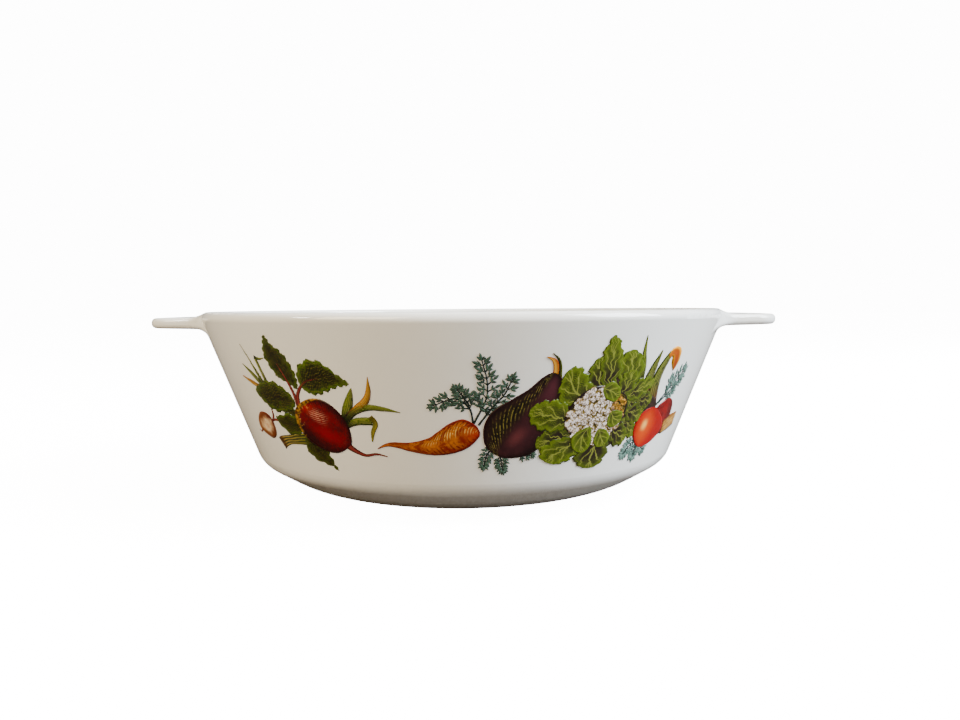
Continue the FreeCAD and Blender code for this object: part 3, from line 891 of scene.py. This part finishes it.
DISH_MIDDLE = (0, 0, 0.04)
LEFT_OF_RIM = (-0.06, -0.09, 0.07)
LIGHTS = {
    # where it is, what it looks at and how large it is, in metres; its watts; its colour
    "window": ((1.05, -0.3, 0.75), DISH_MIDDLE, (0.7, 0.9), 79.0, (0.84, 0.92, 1.0)),
    "room": ((-0.82, -0.9, 0.72), DISH_MIDDLE, (0.8, 0.6), 25.0, (1.0, 0.79, 0.47)),
    "lamp": ((-0.74, -0.29, 0.5), LEFT_OF_RIM, (0.12, 0.07), 1.5, (1.0, 0.97, 0.92)),
    "ceiling": ((0.25, 0.3, 1.1), DISH_MIDDLE, (0.9, 0.9), 10.0, (1.0, 1.0, 1.0)),
}
FLOOR_STEPS = 96            # round the floor's edge
WHITE = (1, 1, 1, 1)
MATT_WHITE = (0.8, 0.8, 0.8, 1)


def soft_light(name, place, aim, size, power, colour):
    """A square soft box that looks at a point."""
    light = bpy.data.lights.new(name, "AREA")
    light.shape = "RECTANGLE"
    light.size, light.size_y = size
    light.energy = power
    light.color = colour
    made = bpy.data.objects.new(name, light)
    made.location = place
    made.rotation_mode = "QUATERNION"
    made.rotation_quaternion = (Vector(aim) - Vector(place)).to_track_quat("-Z", "Y")
    bpy.context.scene.collection.objects.link(made)


def two_way(tree, seen, lit, end):
    """Mixes one shader for what is seen directly with another for what lights the dish."""
    w = Wiring(tree)
    mixer = w.node("ShaderNodeMixShader", {0: w.node("ShaderNodeLightPath").outputs["Is Camera Ray"]})
    tree.links.new(lit, mixer.inputs[1])
    tree.links.new(seen, mixer.inputs[2])
    tree.links.new(mixer.outputs[0], tree.nodes.new(end).inputs[0])


def make_floor(settings):
    reach = settings.floor_reach
    mesh = bpy.data.meshes.new("floor")
    turns = [2 * math.pi * k / FLOOR_STEPS for k in range(FLOOR_STEPS)]
    ring = [(reach * math.cos(turn), reach * math.sin(turn), 0.0) for turn in turns]
    faces = [(0, k + 1, (k + 1) % FLOOR_STEPS + 1) for k in range(FLOOR_STEPS)]
    mesh.from_pydata([(0, 0, 0)] + ring, [], faces)
    material = bpy.data.materials.new("pale_floor")
    material.use_nodes = True
    tree = material.node_tree
    tree.nodes.clear()
    w = Wiring(tree)
    glow = w.node("ShaderNodeEmission", {"Color": WHITE, "Strength": settings.floor_glow}).outputs[0]
    matt = w.node("ShaderNodeBsdfDiffuse", {"Color": MATT_WHITE}).outputs[0]
    seen = w.node("ShaderNodeAddShader", {0: glow, 1: matt}).outputs[0]
    dim = w.node("ShaderNodeBsdfDiffuse", {"Color": (*settings.floor_colour, 1)}).outputs[0]
    two_way(tree, seen, dim, "ShaderNodeOutputMaterial")
    mesh.materials.append(material)
    floor = bpy.data.objects.new("floor", mesh)
    bpy.context.scene.collection.objects.link(floor)


def make_world(settings):
    world = bpy.data.worlds.new("studio")
    bpy.context.scene.world = world
    world.use_nodes = True
    tree = world.node_tree
    tree.nodes.clear()
    w = Wiring(tree)
    seen = w.node("ShaderNodeBackground", {"Color": WHITE, "Strength": settings.backdrop_glow}).outputs[0]
    air = {"Color": (*settings.air_colour, 1), "Strength": settings.air_strength}
    lit = w.node("ShaderNodeBackground", air).outputs[0]
    two_way(tree, seen, lit, "ShaderNodeOutputWorld")


def make_camera(settings):
    """Stands the camera a little right of square on, just above the rim, and turns it onto the dish."""
    data = bpy.data.cameras.new("camera")
    data.lens = settings.lens
    camera = bpy.data.objects.new("camera", data)
    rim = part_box("dish")[1].z
    place = Vector((0, -settings.camera_distance, rim + settings.camera_height))
    turn = Matrix.Rotation(settings.camera_azimuth, 4, "Z")
    pan = Matrix.Rotation(-settings.camera_pan, 4, "Z")
    tilt = Matrix.Rotation(math.pi / 2 - settings.camera_tilt, 4, "X")
    roll = Matrix.Rotation(-settings.camera_roll, 4, "Z")
    camera.matrix_world = turn @ Matrix.Translation(place) @ pan @ tilt @ roll
    bpy.context.scene.collection.objects.link(camera)
    bpy.context.scene.camera = camera


# ---------------------------------------------------------------- settings


class DishGlass(bpy.types.PropertyGroup):
    """The glass itself."""
    colour: bpy.props.FloatVectorProperty(
        name="Glass colour", description="Base colour of the opal glass", subtype="COLOR", size=4,
        default=(0.84, 0.83, 0.80, 1.0), min=0, max=1)


class DishStage(bpy.types.PropertyGroup):
    """Camera, backdrop, floor and the light from all round."""
    camera_distance: bpy.props.FloatProperty(
        name="Camera distance", description="From the dish's axis", default=0.3403, unit="LENGTH")
    camera_height: bpy.props.FloatProperty(
        name="Camera height", description="Above the rim", default=0.0018, unit="LENGTH")
    camera_azimuth: bpy.props.FloatProperty(
        name="Camera azimuth", description="Round the dish, from square on",
        default=math.radians(1.97), subtype="ANGLE")
    camera_tilt: bpy.props.FloatProperty(
        name="Camera tilt", description="Below level", default=math.radians(4.04), subtype="ANGLE")
    camera_pan: bpy.props.FloatProperty(
        name="Camera pan", description="To the right of the dish's axis",
        default=math.radians(1.18), subtype="ANGLE")
    camera_roll: bpy.props.FloatProperty(
        name="Camera roll", description="Lifts the right side in the picture",
        default=math.radians(0.44), subtype="ANGLE")
    lens: bpy.props.FloatProperty(name="Lens", description="Focal length in millimetres", default=28.94)
    floor_reach: bpy.props.FloatProperty(
        name="Floor reach", description="Radius of the floor", default=6.0, unit="LENGTH")
    floor_glow: bpy.props.FloatProperty(
        name="Floor glow", description="Brightness of the floor as seen", default=14.0)
    floor_colour: bpy.props.FloatVectorProperty(
        name="Floor colour", description="Colour that the floor lends to the dish",
        subtype="COLOR", default=(0.10, 0.088, 0.076))
    backdrop_glow: bpy.props.FloatProperty(
        name="Backdrop glow", description="Brightness behind the dish", default=14.0)
    air_colour: bpy.props.FloatVectorProperty(
        name="Air colour", description="Colour of the light from all round",
        subtype="COLOR", default=(0.95, 0.97, 1.0))
    air_strength: bpy.props.FloatProperty(
        name="Air strength", description="Strength of the light from all round", default=0.36)


SETTINGS = {"dish_glass": DishGlass, "dish_stage": DishStage}


# ---------------------------------------------------------------- operators


class DISH_OT_finishes(bpy.types.Operator):
    """Build the glass and enamel finishes"""
    bl_idname = "dish.finishes"
    bl_label = "Finishes"

    def execute(self, context):
        build_finishes(tuple(context.scene.dish_glass.colour))
        return {"FINISHED"}


class DISH_OT_glass(bpy.types.Operator):
    """Give the pressing its opal glass"""
    bl_idname = "dish.glass"
    bl_label = "Opal glass"

    def execute(self, context):
        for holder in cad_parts["dish"].material_slots:
            holder.material = bpy.data.materials["opal_glass"]
        return {"FINISHED"}


class PrintStep:
    """What the print's steps share. Each lists its motifs: what draws it, level, seed, slot and inks."""
    motifs = ()

    def execute(self, context):
        for motif in self.motifs:
            print_motif(*motif)
        return {"FINISHED"}


class DISH_OT_beetroot(PrintStep, bpy.types.Operator):
    """Print the beetroot bunch"""
    bl_idname = "dish.beetroot"
    bl_label = "Beetroot bunch"
    motifs = (
        (draw_herb_shoots, 2, 9, "leaf_enamel", ["green_shoot", "yellow_shoot"]),
        (draw_radish, 4, 3, "blush_enamel", ["radish_skin", "beet_stem"]),
        (draw_leek, 6, 4, "pale_enamel", ["leek_stalk"]),
        (draw_beet_leaves, 8, 5, "leaf_enamel", ["beet_leaf", "beet_stem"]),
        (draw_onion_shoots, 12, 6, "leaf_enamel", ["green_shoot", "yellow_shoot", "lime_shoot"]),
        (draw_beetroot, 20, 1, "crimson_enamel", ["beet_skin", "beet_stem"]),
    )


class DISH_OT_carrot(PrintStep, bpy.types.Operator):
    """Print the carrot and its fronds"""
    bl_idname = "dish.carrot"
    bl_label = "Carrot"
    motifs = (
        (draw_carrot_fronds, 12, 11, "blue_green_enamel", ["carrot_frond"]),
        (draw_carrot, 20, 2, "orange_enamel", ["carrot_skin"]),
    )


class DISH_OT_aubergine(PrintStep, bpy.types.Operator):
    """Print the aubergine and its stalk"""
    bl_idname = "dish.aubergine"
    bl_label = "Aubergine"
    motifs = (
        (draw_aubergine, 28, 2, "plum_enamel", ["aubergine_skin"]),
        (draw_aubergine_stalk, 24, 2, "leaf_enamel", ["stalk_green", "stalk_orange"]),
    )


class DISH_OT_cauliflower(PrintStep, bpy.types.Operator):
    """Print the cauliflower's leaves and head"""
    bl_idname = "dish.cauliflower"
    bl_label = "Cauliflower"
    motifs = (
        (draw_cauliflower_leaves, 36, 8, "leaf_enamel", ["cabbage_leaf", "leaf_shade"]),
        (draw_cauliflower_head, 56, 12, "pale_enamel", ["curd_ground", "floret", "cabbage_leaf"]),
    )


class DISH_OT_tomato(PrintStep, bpy.types.Operator):
    """Print the tomato, pepper, dill and pea shoots"""
    bl_idname = "dish.tomato"
    bl_label = "Tomato and herbs"
    motifs = (
        (draw_dill, 14, 15, "blue_green_enamel", ["dill_frond"]),
        (draw_pea_shoots, 30, 13, "leaf_enamel", ["green_shoot", "blossom", "olive_shoot"]),
        (draw_pepper, 40, 16, "red_enamel", ["pepper_skin", "mushroom_stem"]),
        (draw_tomato, 46, 17, "red_enamel", ["tomato_skin"]),
    )


class DISH_OT_stage(bpy.types.Operator):
    """Set the floor, the backdrop, the lights and the camera"""
    bl_idname = "dish.stage"
    bl_label = "Stage"

    def execute(self, context):
        settings = context.scene.dish_stage
        make_camera(settings)
        make_world(settings)
        make_floor(settings)
        for name, light in LIGHTS.items():
            soft_light(name, *light)
        return {"FINISHED"}


OPERATORS = [DISH_OT_finishes, DISH_OT_glass, DISH_OT_beetroot, DISH_OT_carrot, DISH_OT_aubergine,
             DISH_OT_cauliflower, DISH_OT_tomato, DISH_OT_stage]


class DISH_PT_panel(bpy.types.Panel):
    """Lists the settings and the steps"""
    bl_label = "Casserole dish"
    bl_idname = "DISH_PT_panel"
    bl_space_type = "VIEW_3D"
    bl_region_type = "UI"
    bl_category = "Casserole"

    def draw(self, context):
        for name, group in SETTINGS.items():
            box = self.layout.box()
            for key in group.__annotations__:
                box.prop(getattr(context.scene, name), key)
        for operator in OPERATORS:
            self.layout.operator(operator.bl_idname)


CLASSES = [*SETTINGS.values(), *OPERATORS, DISH_PT_panel]


def register():
    for each in CLASSES:
        bpy.utils.register_class(each)
    for name, group in SETTINGS.items():
        setattr(bpy.types.Scene, name, bpy.props.PointerProperty(type=group))


def unregister():
    for name in SETTINGS:
        delattr(bpy.types.Scene, name)
    for each in reversed(CLASSES):
        bpy.utils.unregister_class(each)


def main():
    register()
    for operator in OPERATORS:
        family, name = operator.bl_idname.split(".")
        getattr(getattr(bpy.ops, family), name)()


if __name__ == "__main__":
    main()
